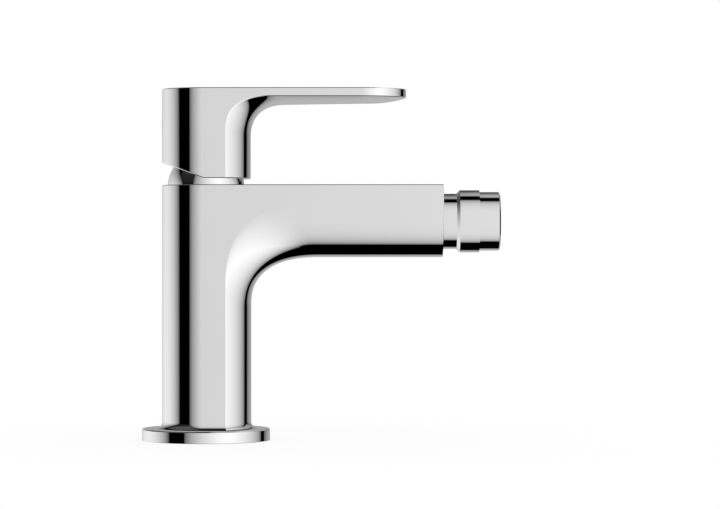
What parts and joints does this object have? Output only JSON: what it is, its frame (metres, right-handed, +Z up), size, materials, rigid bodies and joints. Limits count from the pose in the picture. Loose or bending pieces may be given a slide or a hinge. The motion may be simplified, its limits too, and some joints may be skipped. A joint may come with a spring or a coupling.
{
  "type": "bidet mixer",
  "caption": "Chrome single-lever bidet mixer: round foot, slim column with flat-topped spout, flat lever and a swivelling nozzle on a ball joint.",
  "frame": {"origin": "middle of the foot plate's underside, on the deck", "axes": "+X along the spout, +Z up, +Y across"},
  "size_m": [0.1472, 0.0526, 0.1438],
  "materials": {
    "chrome_body": "bright chrome plate on a brass casting",
    "chrome_handle": "bright chrome plate on a zinc casting",
    "chrome_trim": "bright chrome plate on turned brass",
    "rubber": "matte black",
    "cartridge_plastic": "natural moulded plastic",
    "driver_plastic": "moulded plastic",
    "ceramic": "lapped",
    "brass": "machined",
    "steel": "machined",
    "aerator_plastic": "moulded plastic"
  },
  "bodies": {
    "tap": {"body": "chrome_body", "base_gasket": "rubber", "cartridge_base": "cartridge_plastic", "port_seals": "rubber", "disc_seals": "rubber", "fixed_disc": "ceramic", "cartridge_housing": "cartridge_plastic", "housing_oring": "rubber", "cartridge_nut": "brass", "dome_cap": "chrome_trim", "ball_retainer": "chrome_trim"},
    "driver": {"driver": "driver_plastic", "pivot_pin": "steel"},
    "lever": {"handle": "chrome_handle", "lever_stem": "steel", "handle_screw": "steel", "screw_plug": "chrome_trim"},
    "disc": {"moving_disc": "ceramic", "disc_carrier": "driver_plastic"},
    "swivel": {"ball_seat": "cartridge_plastic", "ball_oring": "rubber"},
    "nozzle": {"nozzle": "chrome_trim", "aerator_washer": "rubber", "aerator_screen": "aerator_plastic", "aerator_insert": "aerator_plastic", "aerator_shell": "chrome_trim"}
  },
  "joints": [
    {"name": "handle_turn", "type": "hinge", "parent": "tap", "child": "driver", "pos_m": [0, 0, 0.1007], "axis": [0, 0, 1], "range_deg": [-45, 45]},
    {"name": "handle_lift", "type": "hinge", "parent": "driver", "child": "lever", "pos_m": [0, 0, 0.1007], "axis": [0, -1, 0], "range_deg": [0, 22]},
    {"name": "disc_slide", "type": "slide", "parent": "driver", "child": "disc", "axis": [1, 0, 0], "range_m": [0, 0.003]},
    {"name": "nozzle_spin", "type": "hinge", "parent": "tap", "child": "swivel", "pos_m": [0.0921, 0, 0.0896], "axis": [1, 0, 0], "continuous": true},
    {"name": "nozzle_tilt", "type": "hinge", "parent": "swivel", "child": "nozzle", "pos_m": [0.0921, 0, 0.0896], "axis": [0, -1, 0], "range_deg": [-8, 8]}
  ],
  "couplings": [
    {"joint": "disc_slide", "follows": "handle_lift", "m_per_rad": 0.0078}
  ]
}
